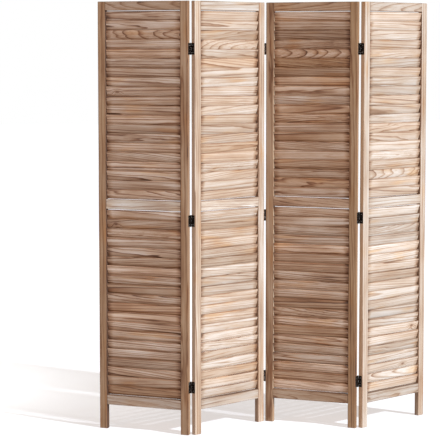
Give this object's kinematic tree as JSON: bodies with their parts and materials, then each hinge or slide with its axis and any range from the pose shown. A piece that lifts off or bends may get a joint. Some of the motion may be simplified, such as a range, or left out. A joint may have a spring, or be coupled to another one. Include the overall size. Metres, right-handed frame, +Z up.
{
  "type": "folding louvred room divider",
  "caption": "Free-standing wooden folding screen of hinged louvred panels, each a frame of stiles and rails filled with turning horizontal slats.",
  "frame": {"origin": "on the floor, under the middle of the screen's bounding box", "axes": "+Z up, +X to the right seen from the front, -Y towards the front, the side that the seams between panels 1 and 2 and between panels 3 and 4 point to"},
  "size_m": [1.3514, 0.2254, 1.7],
  "materials": {
    "stile_wood": "brushed, lightly burnt",
    "rail_wood": "brushed, lightly burnt",
    "slat_wood": "brushed, lightly burnt",
    "hinge_iron": "black, satin",
    "screw_steel": "black, satin"
  },
  "bodies": {
    "panel_1": {"panel_1_left_stile": "stile_wood", "panel_1_right_stile": "stile_wood", "panel_1_top_rail": "rail_wood", "panel_1_middle_rail": "rail_wood", "panel_1_bottom_rail": "rail_wood", "panel_1_upper_slats": "slat_wood", "panel_1_lower_slats": "slat_wood", "panel_1_hinge_screws": "screw_steel", "panel_1_right_hinge_leaves": "hinge_iron", "hinge_pins_1_2": "hinge_iron"},
    "panel_2": {"panel_2_left_stile": "stile_wood", "panel_2_right_stile": "stile_wood", "panel_2_top_rail": "rail_wood", "panel_2_middle_rail": "rail_wood", "panel_2_bottom_rail": "rail_wood", "panel_2_upper_slats": "slat_wood", "panel_2_lower_slats": "slat_wood", "panel_2_hinge_screws": "screw_steel", "panel_2_left_hinge_leaves": "hinge_iron", "panel_2_right_hinge_leaves": "hinge_iron", "hinge_pins_2_3": "hinge_iron"},
    "panel_3": {"panel_3_left_stile": "stile_wood", "panel_3_right_stile": "stile_wood", "panel_3_top_rail": "rail_wood", "panel_3_middle_rail": "rail_wood", "panel_3_bottom_rail": "rail_wood", "panel_3_upper_slats": "slat_wood", "panel_3_lower_slats": "slat_wood", "panel_3_hinge_screws": "screw_steel", "panel_3_left_hinge_leaves": "hinge_iron", "panel_3_right_hinge_leaves": "hinge_iron", "hinge_pins_3_4": "hinge_iron"},
    "panel_4": {"panel_4_left_stile": "stile_wood", "panel_4_right_stile": "stile_wood", "panel_4_top_rail": "rail_wood", "panel_4_middle_rail": "rail_wood", "panel_4_bottom_rail": "rail_wood", "panel_4_upper_slats": "slat_wood", "panel_4_lower_slats": "slat_wood", "panel_4_hinge_screws": "screw_steel", "panel_4_left_hinge_leaves": "hinge_iron"},
    "panel_1_turning_slat_1": {"panel_1_turning_slat_1": "slat_wood"},
    "panel_1_turning_slat_2": {"panel_1_turning_slat_2": "slat_wood"},
    "panel_1_turning_slat_3": {"panel_1_turning_slat_3": "slat_wood"},
    "panel_1_turning_slat_4": {"panel_1_turning_slat_4": "slat_wood"},
    "panel_2_turning_slat_1": {"panel_2_turning_slat_1": "slat_wood"},
    "panel_2_turning_slat_2": {"panel_2_turning_slat_2": "slat_wood"},
    "panel_2_turning_slat_3": {"panel_2_turning_slat_3": "slat_wood"},
    "panel_2_turning_slat_4": {"panel_2_turning_slat_4": "slat_wood"},
    "panel_3_turning_slat_1": {"panel_3_turning_slat_1": "slat_wood"},
    "panel_3_turning_slat_2": {"panel_3_turning_slat_2": "slat_wood"},
    "panel_3_turning_slat_3": {"panel_3_turning_slat_3": "slat_wood"},
    "panel_3_turning_slat_4": {"panel_3_turning_slat_4": "slat_wood"},
    "panel_4_turning_slat_1": {"panel_4_turning_slat_1": "slat_wood"},
    "panel_4_turning_slat_2": {"panel_4_turning_slat_2": "slat_wood"},
    "panel_4_turning_slat_3": {"panel_4_turning_slat_3": "slat_wood"},
    "panel_4_turning_slat_4": {"panel_4_turning_slat_4": "slat_wood"}
  },
  "joints": [
    {"name": "fold_1_2", "type": "hinge", "parent": "panel_1", "child": "panel_2", "pos_m": [-0.33961, -0.09656, 0.85], "axis": [0, 0, -1], "range_deg": [-114, 66]},
    {"name": "fold_2_3", "type": "hinge", "parent": "panel_2", "child": "panel_3", "pos_m": [0, 0.09656, 0.85], "axis": [0, 0, 1], "range_deg": [-114, 66]},
    {"name": "fold_3_4", "type": "hinge", "parent": "panel_3", "child": "panel_4", "pos_m": [0.33961, -0.09656, 0.85], "axis": [0, 0, -1], "range_deg": [-114, 66]},
    {"name": "turn_1_1", "type": "hinge", "parent": "panel_1", "child": "panel_1_turning_slat_1", "pos_m": [-0.50941, 0, 1.56893], "axis": [0.8387, -0.5446, 0], "range_deg": [-8, 110]},
    {"name": "turn_1_2", "type": "hinge", "parent": "panel_1", "child": "panel_1_turning_slat_2", "pos_m": [-0.50941, 0, 1.53211], "axis": [0.8387, -0.5446, 0], "range_deg": [-8, 110]},
    {"name": "turn_1_3", "type": "hinge", "parent": "panel_1", "child": "panel_1_turning_slat_3", "pos_m": [-0.50941, 0, 1.49528], "axis": [0.8387, -0.5446, 0], "range_deg": [-8, 110]},
    {"name": "turn_1_4", "type": "hinge", "parent": "panel_1", "child": "panel_1_turning_slat_4", "pos_m": [-0.50941, 0, 1.45846], "axis": [0.8387, -0.5446, 0], "range_deg": [-8, 110]},
    {"name": "turn_2_1", "type": "hinge", "parent": "panel_2", "child": "panel_2_turning_slat_1", "pos_m": [-0.1698, 0, 1.56893], "axis": [0.8387, 0.5446, 0], "range_deg": [-8, 110]},
    {"name": "turn_2_2", "type": "hinge", "parent": "panel_2", "child": "panel_2_turning_slat_2", "pos_m": [-0.1698, 0, 1.53211], "axis": [0.8387, 0.5446, 0], "range_deg": [-8, 110]},
    {"name": "turn_2_3", "type": "hinge", "parent": "panel_2", "child": "panel_2_turning_slat_3", "pos_m": [-0.1698, 0, 1.49528], "axis": [0.8387, 0.5446, 0], "range_deg": [-8, 110]},
    {"name": "turn_2_4", "type": "hinge", "parent": "panel_2", "child": "panel_2_turning_slat_4", "pos_m": [-0.1698, 0, 1.45846], "axis": [0.8387, 0.5446, 0], "range_deg": [-8, 110]},
    {"name": "turn_3_1", "type": "hinge", "parent": "panel_3", "child": "panel_3_turning_slat_1", "pos_m": [0.1698, 0, 1.56893], "axis": [0.8387, -0.5446, 0], "range_deg": [-8, 110]},
    {"name": "turn_3_2", "type": "hinge", "parent": "panel_3", "child": "panel_3_turning_slat_2", "pos_m": [0.1698, 0, 1.53211], "axis": [0.8387, -0.5446, 0], "range_deg": [-8, 110]},
    {"name": "turn_3_3", "type": "hinge", "parent": "panel_3", "child": "panel_3_turning_slat_3", "pos_m": [0.1698, 0, 1.49528], "axis": [0.8387, -0.5446, 0], "range_deg": [-8, 110]},
    {"name": "turn_3_4", "type": "hinge", "parent": "panel_3", "child": "panel_3_turning_slat_4", "pos_m": [0.1698, 0, 1.45846], "axis": [0.8387, -0.5446, 0], "range_deg": [-8, 110]},
    {"name": "turn_4_1", "type": "hinge", "parent": "panel_4", "child": "panel_4_turning_slat_1", "pos_m": [0.50941, 0, 1.56893], "axis": [0.8387, 0.5446, 0], "range_deg": [-8, 110]},
    {"name": "turn_4_2", "type": "hinge", "parent": "panel_4", "child": "panel_4_turning_slat_2", "pos_m": [0.50941, 0, 1.53211], "axis": [0.8387, 0.5446, 0], "range_deg": [-8, 110]},
    {"name": "turn_4_3", "type": "hinge", "parent": "panel_4", "child": "panel_4_turning_slat_3", "pos_m": [0.50941, 0, 1.49528], "axis": [0.8387, 0.5446, 0], "range_deg": [-8, 110]},
    {"name": "turn_4_4", "type": "hinge", "parent": "panel_4", "child": "panel_4_turning_slat_4", "pos_m": [0.50941, 0, 1.45846], "axis": [0.8387, 0.5446, 0], "range_deg": [-8, 110]}
  ]
}
